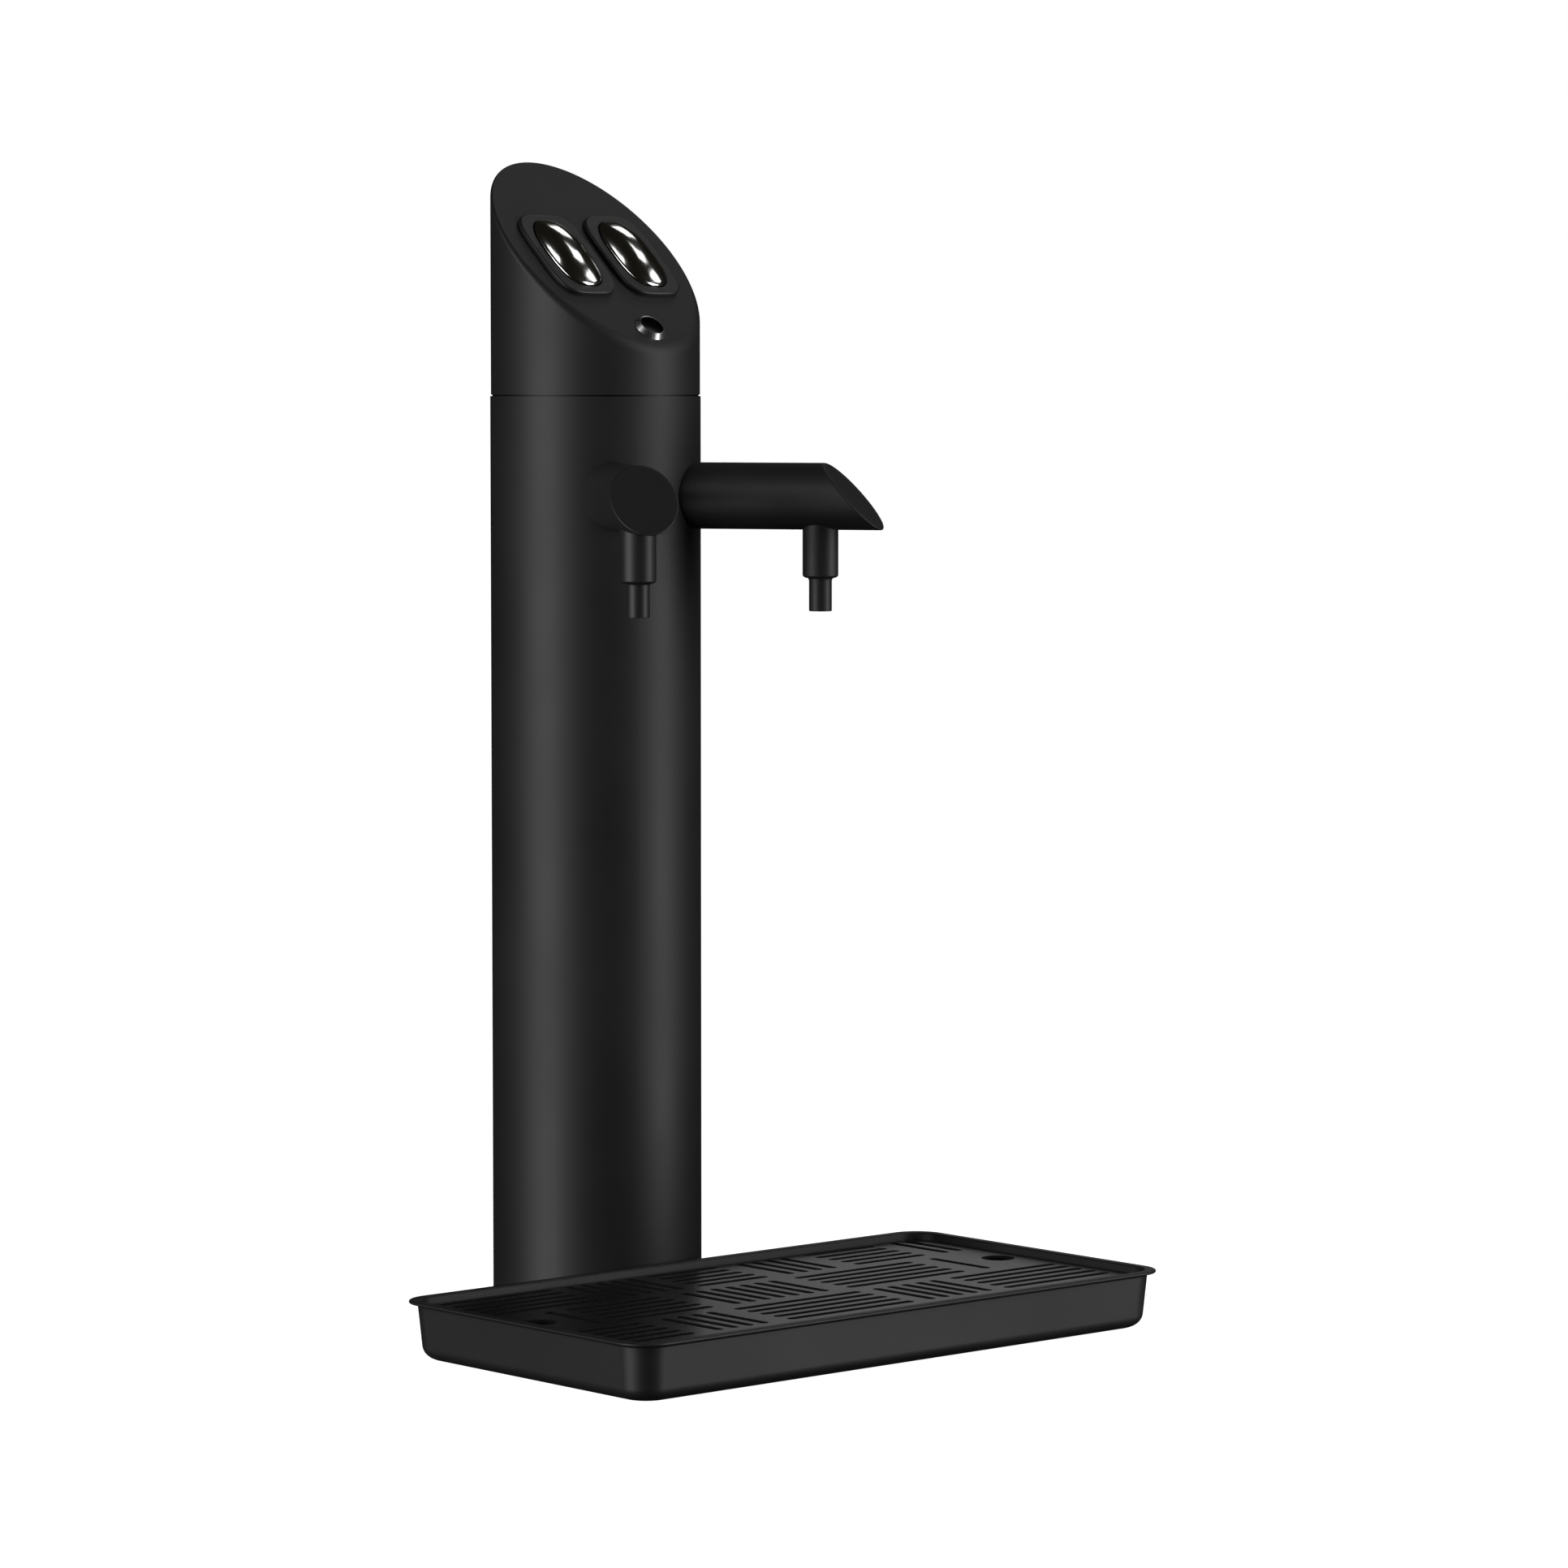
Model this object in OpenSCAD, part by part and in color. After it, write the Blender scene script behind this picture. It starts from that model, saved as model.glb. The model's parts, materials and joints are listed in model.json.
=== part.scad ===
// Countertop water dispenser: a slim column with a slanted control head, two fixed
// spouts in a V, and a loose drip tray with a slotted grille.
// Origin: column axis at the worktop. +Z is up and the front faces -Y.

/* [Column] */
// Outer diameter of the column tube
column_d = 89; // [80:1:100]
// Wall thickness of the column tube
column_wall = 2; // [1.5:0.5:3]
// Height of the seam between the column and the head
seam_z = 390; // [370:1:420]
// Thickness of the base flange disc
flange_t = 6; // [5:0.5:8]

/* [Head] */
// Slope of the control panel, from level
panel_slope = 42; // [35:1:48]
// Height of the panel's plane at the column axis
panel_z = 450; // [446:1:480]
// Thickness of the panel and of the head's wall
panel_t = 3; // [2:0.5:4]

/* [Buttons] */
// Width of a push-button
button_w = 22; // [18:1:24]
// Length of a push-button, up the panel
button_l = 41; // [34:1:42]
// Distance of each button's centre from the middle of the panel
button_x = 17.8; // [17:0.1:19]
// Place of the buttons' centres up the panel
button_v = -2.7; // [-5:0.1:0]
// How far a button stands above its surround
button_dome = 4.4; // [3:0.1:6]
// Travel of a button
button_travel = 2.5; // [1:0.1:3]

/* [Spouts] */
// Height of the spouts' axis
spout_z = 348; // [340:1:352]
// Outer diameter of a spout
spout_d = 28; // [24:1:29]
// Angle of each spout from straight ahead
spout_turn = 30; // [29:1:40]
// Distance of the nozzle's axis from the column's axis
nozzle_reach = 100; // [90:1:140]
// Height of the outlet above the worktop
outlet_z = 300; // [290:1:308]

/* [Drip tray] */
// Width of the tray over its lip
tray_w = 290; // [290:1:320]
// Depth of the tray over its lip
tray_depth = 154; // [154:1:170]
// Height of the tray's rim
tray_h = 25.5; // [24:0.5:32]
// Gap between the column and the tray
tray_gap = 1.2; // [1:0.1:5]
// Draft of the tray's walls
tray_draft = 5; // [2:0.5:8]
// Thickness of the tray's sheet
tray_t = 1.5; // [1:0.1:2]
// Spacing of the grille's slots
slot_pitch = 8; // [7:0.5:9]
// Width of a slot
slot_w = 3.8; // [3:0.1:4.2]

/* [Hidden] */
$fn = 64;
eps = 0.01;

column_r = column_d / 2;
bore_r = column_r - column_wall;
seam_reveal = 0.6;
column_top = seam_z - seam_reveal / 2;
head_z = seam_z + seam_reveal / 2;
head_r = column_r - 0.3;

seal_mid_r = 39;
seal_w = 3;
seal_t = 2;
spigot_h = 20;
spigot_wall = 4.5;
bolt_circle = 64;
bolt_count = 4;
bolt_hole_r = 2.75;
grub_r = 2;
grub_z = flange_t + spigot_h / 2;
grub_angles = [90, 210, 330];

collar_wall = 2.5;
collar_bottom = seam_z - 21;
collar_top = seam_z + 14;
head_screw_z = seam_z + 8;
head_screw_r = 1.5;
head_screw_angles = [60, 120];
cavity_r = head_r - panel_t;

// Panel openings and the surrounds around the buttons
surround_margin = 4.5;
surround_h = 2;
// How square each oval is, where 2 is an ellipse
surround_square = 4;
opening_square = 2.8;
cap_square = 2.6;
opening_margin = 1.4;
sleeve_gap = 0.4;
housing_depth = 8;
housing_wall = 1.5;
housing_floor = 2;
housing_bottom = -panel_t - housing_depth;
button_base = surround_h - 0.4;
skirt_bottom = -4;
web_t = 1.5;
stem_r = 2.5;
stem_bottom = -14;
guide_clearance = 0.05;
spring_turns = 5;
spring_r = 4.2;
spring_wire = 0.45;
board_t = 1.6;
board_top = -22;
switch_body = [12, 12, 4];
plunger_r = 1.75;
plunger_top = stem_bottom - button_travel - 0.2;
board_w = 58;
board_from = -53;
board_to = 11;
boss_r = 3;
boss_places = [[0, 5], [-21, -35], [21, -35]];
board_screw_r = 1.25;
housing_ear_r = 2.6;
housing_screw_r = 1.1;

indicator_v = -48;
indicator_r = 7;
indicator_rim_r = 5.6;
indicator_h = 2.2;
indicator_hole_r = 5.8;
lens_r = 5.2;
lens_top = 2.5;
lens_crown_r = 30;
led_r = 2.5;

connector = [12, 7, 6];
connector_v = -14;
cable_r = 2.25;
cable_bend = 20;
cable_stub = 4;
gland_r = 7;
gland_top = 22;

// Water path
hose_r = 4;
hose_bend = 22;
hose_stand = 12;
inlet_x = 15;
inlet_r = 8;
inlet_top = 30;
inlet_socket = 15;
inlet_bore_r = 4.05;

spout_r = spout_d / 2;
spout_wall = 2.5;
tip_reach = nozzle_reach + 15;
tip_slope = panel_slope;
tail_r = 11;
tail_bore_r = 9;
tail_end = 33;
nut_t = 5;
nut_flats = 27;
washer_r = 14.2;
elbow_r = 6.5;
neck_r = 5;
neck_top = -3;
nozzle_r = 7.5;
nozzle_step_z = outlet_z + 14;
outlet_r = 4.8;
outlet_bore_r = 3.2;
outlet_tail = 8;
outlet_tail_r = 4;
flow_r = 2.75;
oring_wire = 1;

// Drip tray
tray_back = -(column_r + tray_gap);
tray_y = tray_back - tray_depth / 2;
lip_out = 3;
lip_t = 1.3;
lip_corner = 14;
tray_fillet = 6;
feet_h = 1.2;
foot_r = 6;
foot_inset = 24;
pan_w = tray_w - 2 * lip_out;
pan_depth = tray_depth - 2 * lip_out;
pan_corner = 12;
pan_draw = (tray_h - feet_h) * tan(tray_draft);

grille_drop = 3;
grille_t = 1.5;
grille_gap = 1;
grille_top = tray_h - grille_drop;
grille_w = pan_w - 2 * (tray_t + grille_gap);
grille_depth = pan_depth - 2 * (tray_t + grille_gap);
grille_corner = 9.5;
leg_r = 3.5;
band = 8;
row_count = 3;
row_pitch = (grille_depth - 11.6) / row_count;
// The slots and lift holes lie nearer the column than the plate's middle
pattern_y = tray_y + 7.5;
lift_hole_r = 7;
lift_hole_inset = 13;
lift_hole_room = 24;
ALONG = 0;
ACROSS = 1;
// Blocks of slots from left to right in each row, from the back: [width, direction]
slot_rows = [
    [[70, ALONG], [44, ACROSS], [46, ALONG], [42, ACROSS], [48, ALONG], [24, ACROSS]],
    [[34, ACROSS], [58, ALONG], [66, ACROSS], [74, ALONG], [42, ACROSS]],
    [[44, ALONG], [42, ACROSS], [76, ALONG], [44, ACROSS], [68, ALONG]]
];

black = "#26272a";
deep_black = "#1a1b1d";
rubber = "#111111";
steel = "#b9bcc0";
chrome = "#dfe2e6";

LEFT = -1;
RIGHT = 1;

// ---------- shared shapes ----------

// A rounded oval: exponent 2 is an ellipse, and more is squarer
function oval(half_w, half_l, exponent, steps = 48) = [
    for (i = [0 : steps - 1])
        let (c = cos(360 * i / steps), s = sin(360 * i / steps))
            [half_w * sign(c) * pow(abs(c), 2 / exponent),
             half_l * sign(s) * pow(abs(s), 2 / exponent)]
];

// A stadium of the given width and length, along X
function slot_outline(length, width, steps = 6) = concat(
    [for (i = [0 : steps]) let (a = -90 + 180 * i / steps)
        [(length - width) / 2 + width / 2 * cos(a), width / 2 * sin(a)]],
    [for (i = [0 : steps]) let (a = 90 + 180 * i / steps)
        [-(length - width) / 2 + width / 2 * cos(a), width / 2 * sin(a)]]
);

function unit(v) = v / norm(v);

// Puts children in the panel's frame: X across, Y up the slope, Z out of the panel
module on_panel() {
    translate([0, 0, panel_z]) rotate([panel_slope, 0, 0]) children();
}

// Puts children at one button's centre, in the panel's frame
module at_button(side) {
    on_panel() translate([side * button_x, button_v, 0]) children();
}

// Puts children on a spout's axis: X runs out along the spout and Z is up
module on_spout(side) {
    translate([0, 0, spout_z]) rotate([0, 0, -90 + side * spout_turn]) children();
}

// Puts children on a radial line through the column at a height
module radial(angle, z) {
    rotate([0, 0, angle]) translate([0, 0, z]) rotate([0, 90, 0]) children();
}

module ring(outer_r, inner_r, height) {
    difference() {
        cylinder(r = outer_r, h = height);
        translate([0, 0, -1]) cylinder(r = inner_r, h = height + 2);
    }
}

module oval_prism(half_w, half_l, exponent, from, to) {
    translate([0, 0, from]) linear_extrude(to - from) polygon(oval(half_w, half_l, exponent));
}

// A round rod along a route of points. The sides vector is never parallel to the route.
module swept(route, r, sides_axis, sides = 12) {
    last = len(route) - 1;
    points = [
        for (i = [0 : last])
            let (along = route[min(i + 1, last)] - route[max(i - 1, 0)],
                across = unit(cross(along, sides_axis)), other = unit(cross(along, across)))
                for (j = [0 : sides - 1])
                    let (b = 360 * j / sides)
                        route[i] + r * cos(b) * across + r * sin(b) * other
    ];
    walls = [
        for (i = [0 : last - 1]) for (j = [0 : sides - 1])
            let (n = (j + 1) % sides)
                [i * sides + j, (i + 1) * sides + j, (i + 1) * sides + n, i * sides + n]
    ];
    ends = [
        [for (j = [0 : sides - 1]) j],
        [for (j = [sides - 1 : -1 : 0]) last * sides + j]
    ];
    polyhedron(points, concat(walls, ends));
}

// ---------- base ----------

module bolt_ring(r, from, to) {
    for (i = [0 : bolt_count - 1])
        rotate([0, 0, 45 + 360 * i / bolt_count]) translate([bolt_circle / 2, 0, from])
            cylinder(r = r, h = to - from);
}

module base_seal() {
    color(rubber) ring(seal_mid_r + seal_w / 2, seal_mid_r - seal_w / 2, seal_t);
}

module base_flange() {
    color(black) difference() {
        union() {
            cylinder(r = column_r, h = flange_t);
            translate([0, 0, flange_t - eps]) ring(bore_r, bore_r - spigot_wall, spigot_h + eps);
        }
        bolt_ring(bolt_hole_r, -1, flange_t + 1);
        translate([0, 0, -seal_t])
            ring(seal_mid_r + seal_w / 2, seal_mid_r - seal_w / 2, 2 * seal_t);
        for (side = [LEFT, RIGHT]) translate([side * inlet_x, hose_y, -1])
            cylinder(r = inlet_r - 2, h = flange_t + 2);
        translate([0, cable_y, -1]) cylinder(r = gland_r - 2, h = flange_t + 2);
        for (a = grub_angles) radial(a, grub_z) cylinder(r = grub_r, h = column_r);
    }
}

module base_set_screws() {
    color(steel) for (a = grub_angles) radial(a, grub_z)
        translate([0, 0, bore_r - spigot_wall]) difference() {
            cylinder(r = grub_r, h = spigot_wall + column_wall - 0.3);
            translate([0, 0, spigot_wall]) cylinder(r = 1.15, h = column_wall + 1, $fn = 6);
        }
}

module inlet_fitting(side) {
    color(deep_black) translate([side * inlet_x, hose_y, 0]) difference() {
        union() {
            cylinder(r = inlet_r - 2, h = flange_t);
            translate([0, 0, flange_t]) cylinder(r = inlet_r, h = inlet_top - flange_t);
        }
        translate([0, 0, -1]) cylinder(r = inlet_bore_r, h = inlet_socket + 1);
        cylinder(r = flow_r, h = inlet_top);
        translate([0, 0, hose_from]) cylinder(r = hose_r, h = inlet_top);
    }
}

module cable_gland() {
    color(deep_black) translate([0, cable_y, 0]) difference() {
        union() {
            cylinder(r = gland_r - 2, h = flange_t);
            translate([0, 0, flange_t]) cylinder(r = gland_r, h = gland_top - flange_t, $fn = 6);
        }
        translate([0, 0, -1]) cylinder(r = cable_r, h = gland_top + 2);
    }
}

// ---------- column ----------

module column_tube() {
    color(black) difference() {
        translate([0, 0, flange_t]) ring(column_r, bore_r, column_top - flange_t);
        for (side = [LEFT, RIGHT]) on_spout(side) rotate([0, 90, 0])
            cylinder(r = tail_r, h = column_r + 5);
        for (a = grub_angles) radial(a, grub_z) cylinder(r = grub_r, h = column_r + 1);
    }
}

module joining_collar() {
    color(black) difference() {
        union() {
            translate([0, 0, collar_bottom]) ring(bore_r, bore_r - collar_wall, collar_top - collar_bottom);
            translate([0, 0, column_top]) ring(column_r - 0.9, bore_r - collar_wall, seam_reveal);
        }
        for (a = head_screw_angles) radial(a, head_screw_z) cylinder(r = head_screw_r, h = column_r);
    }
}

// ---------- head ----------

// All of the space below a plane parallel to the panel
module below_panel(offset) {
    on_panel() translate([-100, -100, offset - 200]) cube([200, 200, 200]);
}

module head_cap() {
    color(black) difference() {
        intersection() {
            translate([0, 0, head_z]) cylinder(r = head_r, h = 200);
            below_panel(0);
        }
        difference() {
            intersection() {
                translate([0, 0, head_z - 1]) cylinder(r = cavity_r, h = 200);
                below_panel(-panel_t);
            }
            on_panel() for (p = boss_places)
                translate([p[0], p[1], board_top]) cylinder(r = boss_r, h = -board_top);
        }
        translate([0, 0, head_z - 1]) cylinder(r = bore_r, h = collar_top - head_z + 1);
        for (side = [LEFT, RIGHT]) at_button(side)
            oval_prism(button_w / 2 + opening_margin, button_l / 2 + opening_margin, opening_square,
                -panel_t - 1, 1);
        on_panel() translate([0, indicator_v, -20]) cylinder(r = indicator_hole_r, h = 30);
        on_panel() for (p = boss_places)
            translate([p[0], p[1], board_top - 1]) cylinder(r = board_screw_r, h = 9);
        for (a = head_screw_angles) radial(a, head_screw_z) cylinder(r = head_screw_r, h = 60);
    }
}

module head_screws() {
    color(steel) for (a = head_screw_angles) radial(a, head_screw_z) {
        translate([0, 0, bore_r - collar_wall]) cylinder(r = head_screw_r, h = collar_wall + 2);
        translate([0, 0, head_r]) difference() {
            cylinder(r = 2.8, h = 1.6);
            translate([0, 0, 0.6]) cylinder(r = 1.15, h = 2, $fn = 6);
        }
    }
}

// ---------- buttons ----------

module button_surround(side) {
    color(deep_black) at_button(side) difference() {
        union() {
            oval_prism(button_w / 2 + surround_margin, button_l / 2 + surround_margin,
                surround_square, 0, surround_h);
            oval_prism(button_w / 2 + opening_margin, button_l / 2 + opening_margin, opening_square,
                -panel_t, eps);
        }
        oval_prism(button_w / 2 + sleeve_gap, button_l / 2 + sleeve_gap, cap_square,
            -panel_t - 1, surround_h + 1);
    }
}

module housing_ears(r, from, to) {
    for (end = [-1, 1]) translate([0, end * (button_l / 2 + opening_margin + 4), from])
        cylinder(r = r, h = to - from);
}

module button_housing(side) {
    color(deep_black) at_button(side) difference() {
        union() {
            oval_prism(button_w / 2 + opening_margin + housing_wall,
                button_l / 2 + opening_margin + housing_wall, opening_square, housing_bottom, -panel_t);
            housing_ears(housing_ear_r, -panel_t - 3, -panel_t);
        }
        oval_prism(button_w / 2 + opening_margin, button_l / 2 + opening_margin, opening_square,
            housing_bottom + housing_floor, 0);
        translate([0, 0, housing_bottom - 1])
            cylinder(r = stem_r + guide_clearance, h = housing_floor + 2);
        housing_ears(housing_screw_r, -panel_t - 4, 0);
    }
}

module housing_screws() {
    color(steel) for (side = [LEFT, RIGHT]) at_button(side) {
        housing_ears(housing_screw_r, -panel_t - 3, -panel_t);
        housing_ears(2.1, -panel_t - 4.5, -panel_t - 3);
    }
}

module button_cap(side) {
    steps = 6;
    color(chrome) at_button(side) union() {
        hull() for (i = [0 : steps]) {
            rise = sin(90 * i / steps);
            shrink = 1 - 0.97 * (1 - cos(90 * i / steps));
            translate([0, 0, button_base + (surround_h - button_base + button_dome) * rise - 0.05])
                linear_extrude(0.05)
                    polygon(oval(button_w / 2 * shrink, button_l / 2 * shrink, cap_square));
        }
        difference() {
            oval_prism(button_w / 2, button_l / 2, cap_square, skirt_bottom, button_base - 0.05);
            oval_prism(button_w / 2 - 1.5, button_l / 2 - 1.5, cap_square, skirt_bottom - 1,
                button_base - 0.05 - web_t);
        }
        translate([0, 0, stem_bottom]) cylinder(r = stem_r, h = button_base - stem_bottom - web_t);
    }
}

spring_from = housing_bottom + housing_floor;
spring_to = button_base - 0.05 - web_t;

function coil_route(r, turns, from, to, steps = 14) = [
    for (i = [0 : turns * steps])
        [r * cos(360 * i / steps), r * sin(360 * i / steps), from + (to - from) * i / (turns * steps)]
];

module button_spring(side) {
    color(steel) at_button(side)
        swept(coil_route(spring_r, spring_turns, spring_from + spring_wire, spring_to - spring_wire),
            spring_wire, [0, 0, 1], 8);
}

module switch(side) {
    color(deep_black) at_button(side) {
        translate([-switch_body[0] / 2, -switch_body[1] / 2, board_top]) cube(switch_body);
        translate([0, 0, board_top]) cylinder(r = plunger_r, h = plunger_top - board_top);
    }
}

// ---------- control board and indicator ----------

module control_board() {
    color("#1d4a33") on_panel() difference() {
        translate([-board_w / 2, board_from, board_top - board_t])
            cube([board_w, board_to - board_from, board_t]);
        for (p = boss_places) translate([p[0], p[1], board_top - board_t - 1])
            cylinder(r = board_screw_r, h = board_t + 2);
    }
}

module board_screws() {
    color(steel) on_panel() for (p = boss_places) translate([p[0], p[1], board_top - board_t]) {
        cylinder(r = board_screw_r, h = board_t + 7);
        translate([0, 0, -1.5]) cylinder(r = 2.4, h = 1.5);
    }
}

module indicator_bezel() {
    color(chrome) on_panel() translate([0, indicator_v, 0]) {
        difference() {
            cylinder(r1 = indicator_r, r2 = indicator_rim_r, h = indicator_h);
            translate([0, 0, -1]) cylinder(r = lens_r, h = indicator_h + 2);
        }
        translate([0, 0, -panel_t]) ring(indicator_hole_r, lens_r, panel_t + eps);
    }
}

module indicator_lens() {
    color(deep_black) on_panel() translate([0, indicator_v, 0]) intersection() {
        translate([0, 0, -panel_t]) cylinder(r = lens_r, h = panel_t + lens_top);
        translate([0, 0, lens_top - lens_crown_r]) sphere(r = lens_crown_r);
    }
}

module light_pipe() {
    color(steel) on_panel() translate([0, indicator_v, board_top + 5])
        cylinder(r = led_r - 0.5, h = -panel_t - board_top - 5);
}

module indicator_led() {
    color("white") on_panel() translate([0, indicator_v, board_top])
        cylinder(r = led_r, h = 5);
}

module board_connector() {
    color("ivory") on_panel()
        translate([-connector[0] / 2, connector_v - connector[1] / 2, board_top - board_t - connector[2]])
            cube(connector);
}

// The cable's exit from the connector, and where it comes down into the base
exit_n = board_top - board_t - connector[2];
exit_y = connector_v * cos(panel_slope) - exit_n * sin(panel_slope);
exit_z = panel_z + connector_v * sin(panel_slope) + exit_n * cos(panel_slope);
cable_y = exit_y + cable_stub * sin(panel_slope) + cable_bend * (1 - cos(panel_slope));
cable_top = exit_z - cable_stub * cos(panel_slope) - cable_bend * sin(panel_slope);

module control_cable() {
    route = concat(
        [[0, cable_y, 0]],
        [for (a = [0 : 6 : panel_slope])
            [0, cable_y - cable_bend * (1 - cos(a)), cable_top + cable_bend * sin(a)]],
        [[0, exit_y, exit_z]]
    );
    color(rubber) swept(route, cable_r, [1, 0, 0]);
}

// ---------- water path ----------

hose_x = hose_stand * sin(spout_turn);
hose_y = -hose_stand * cos(spout_turn);
hose_from = inlet_top - 8;
swerve_from = inlet_top + 10;
swerve_h = 50;

// The hose stands up from its inlet, swerves to the spout's line and bends out along it
module water_hose(side) {
    out = [side * sin(spout_turn), -cos(spout_turn), 0];
    reach = nozzle_reach - elbow_r;
    route = concat(
        [[side * inlet_x, hose_y, hose_from]],
        [for (i = [0 : 8])
            [side * (inlet_x + (hose_x - inlet_x) * (1 - cos(22.5 * i)) / 2), hose_y,
             swerve_from + swerve_h * i / 8]],
        [for (a = [0 : 10 : 90])
            out * (hose_stand + hose_bend * (1 - cos(a))) + [0, 0, spout_z - hose_bend * (1 - sin(a))]],
        [out * reach + [0, 0, spout_z]]
    );
    color("white") swept(route, hose_r, cross(out, [0, 0, 1]));
}

// ---------- spouts ----------

// Everything nearer than the oblique end face, moved back by an offset
module behind_tip(offset) {
    translate([tip_reach - offset / cos(tip_slope), 0, 0]) rotate([0, -tip_slope, 0])
        translate([-300, -50, -150]) cube([300, 100, 300]);
}

module level_rod(r, from, to) {
    translate([from, 0, 0]) rotate([0, 90, 0]) cylinder(r = r, h = to - from);
}

module spout_arm(side) {
    color(deep_black) on_spout(side) difference() {
        union() {
            difference() {
                intersection() {
                    level_rod(spout_r, 10, 200);
                    behind_tip(0);
                }
                translate([0, 0, -60]) cylinder(r = column_r, h = 120);
            }
            level_rod(tail_r, tail_end, column_r + 3);
        }
        level_rod(tail_bore_r, tail_end - 1, column_r + 8);
        intersection() {
            level_rod(spout_r - spout_wall, column_r + 5, 200);
            behind_tip(spout_wall);
        }
        translate([nozzle_reach, 0, -spout_r - 1]) cylinder(r = neck_r, h = spout_r);
    }
}

module spout_washer(side) {
    flat_x = tail_end + nut_t;
    color(rubber) on_spout(side) difference() {
        intersection() {
            level_rod(washer_r, flat_x, column_r);
            translate([0, 0, -60]) cylinder(r = bore_r, h = 120);
        }
        level_rod(tail_r, 0, 100);
    }
}

module spout_nut(side) {
    color(steel) on_spout(side) difference() {
        translate([tail_end, 0, 0]) rotate([0, 90, 0])
            cylinder(r = nut_flats / 2 / cos(30), h = nut_t, $fn = 6);
        level_rod(tail_r, 0, 100);
    }
}

module spout_elbow(side) {
    color("white") on_spout(side) difference() {
        translate([nozzle_reach, 0, -8]) cylinder(r = elbow_r, h = 13);
        translate([nozzle_reach, 0, -9]) cylinder(r = neck_r, h = 9 + neck_top);
        translate([nozzle_reach, 0, neck_top - 1]) cylinder(r = flow_r, h = 4);
        level_rod(flow_r, nozzle_reach - elbow_r - 1, nozzle_reach);
    }
}

module nozzle_body(side) {
    color(deep_black) on_spout(side) translate([nozzle_reach, 0, 0]) difference() {
        union() {
            difference() {
                translate([0, 0, nozzle_step_z - spout_z])
                    cylinder(r = nozzle_r, h = spout_z - nozzle_step_z - 8);
                level_rod(spout_r, -20, 20);
            }
            translate([0, 0, nozzle_step_z - spout_z + 1])
                cylinder(r = neck_r, h = spout_z - nozzle_step_z - 1 + neck_top);
        }
        translate([0, 0, nozzle_step_z - spout_z - 1])
            cylinder(r = outlet_tail_r, h = outlet_tail + 1);
        translate([0, 0, nozzle_step_z - spout_z]) cylinder(r = flow_r, h = 60);
    }
}

module nozzle_seal(side) {
    color(rubber) on_spout(side)
        translate([nozzle_reach, 0, nozzle_step_z - spout_z + outlet_tail - oring_wire])
            ring(outlet_tail_r, flow_r, oring_wire);
}

module nozzle_tip(side) {
    color(deep_black) on_spout(side) translate([nozzle_reach, 0, outlet_z - spout_z]) difference() {
        union() {
            cylinder(r = outlet_r, h = nozzle_step_z - outlet_z);
            cylinder(r = outlet_tail_r, h = nozzle_step_z - outlet_z + outlet_tail - oring_wire);
        }
        translate([0, 0, -1]) cylinder(r = flow_r, h = 60);
        translate([0, 0, -1]) cylinder(r = outlet_bore_r, h = 7);
    }
}

// ---------- drip tray ----------

// Four places at the corners of a rectangle, drawn in from its edges
module at_corners(w, depth, inset) {
    for (sx = [-1, 1]) for (sy = [-1, 1])
        translate([sx * (w / 2 - inset), tray_y + sy * (depth / 2 - inset), 0]) children();
}

// A corner post: a flat disc on top and a rounded foot, drawn in by the draft
module pan_form(shell) {
    corner = pan_corner - shell;
    fillet = tray_fillet - shell;
    hull() {
        at_corners(pan_w, pan_depth, pan_corner)
            translate([0, 0, tray_h - eps]) cylinder(r = corner, h = eps + (shell > 0 ? 1 : 0), $fn = 32);
        at_corners(pan_w - 2 * pan_draw, pan_depth - 2 * pan_draw, pan_corner)
            translate([0, 0, feet_h + tray_fillet])
                rotate_extrude($fn = 32) translate([corner - fillet, 0]) circle(r = fillet, $fn = 24);
    }
}

module drip_tray_pan() {
    color(black) difference() {
        union() {
            pan_form(0);
            translate([0, 0, tray_h - lip_t]) linear_extrude(lip_t)
                translate([0, tray_y]) polygon(rounded_plate(tray_w, tray_depth, lip_corner));
        }
        pan_form(tray_t);
    }
}

function rounded_plate(w, depth, r, steps = 8) = [
    for (q = [0 : 3]) for (i = [0 : steps])
        let (a = 90 * q + 90 * i / steps, sx = q == 0 || q == 3 ? 1 : -1, sy = q < 2 ? 1 : -1)
            [sx * (w / 2 - r) + r * cos(a), sy * (depth / 2 - r) + r * sin(a)]
];

module tray_feet() {
    color(rubber) at_corners(pan_w, pan_depth, foot_inset) cylinder(r = foot_r, h = feet_h);
}

// ---------- grille ----------

function sum_to(list, n) = n == 0 ? 0 : list[n - 1][0] + sum_to(list, n - 1);

// One block of slots, centred, in a cell of the given size
module slot_block(cell_w, cell_h, direction) {
    w = cell_w - band;
    h = cell_h - band;
    count = max(1, floor(((direction == ALONG ? h : w) + slot_pitch - slot_w) / slot_pitch));
    for (i = [0 : count - 1]) {
        off = (i - (count - 1) / 2) * slot_pitch;
        if (direction == ALONG) translate([0, off]) polygon(slot_outline(w, slot_w));
        else translate([off, 0]) rotate(90) polygon(slot_outline(h, slot_w));
    }
}

module grille_slots() {
    for (row = [0 : row_count - 1]) {
        blocks = slot_rows[row];
        for (i = [0 : len(blocks) - 1]) {
            centre = -sum_to(blocks, len(blocks)) / 2 + sum_to(blocks, i) + blocks[i][0] / 2;
            beside_hole = row == 1 && (i == 0 || i == len(blocks) - 1);
            side = i == 0 ? LEFT : RIGHT;
            room = beside_hole ? lift_hole_room : 0;
            row_y = pattern_y - tray_y + ((row_count - 1) / 2 - row) * row_pitch;
            translate([centre - side * room / 2, row_y])
                slot_block(blocks[i][0] - room, row_pitch, blocks[i][1]);
        }
    }
}

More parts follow.
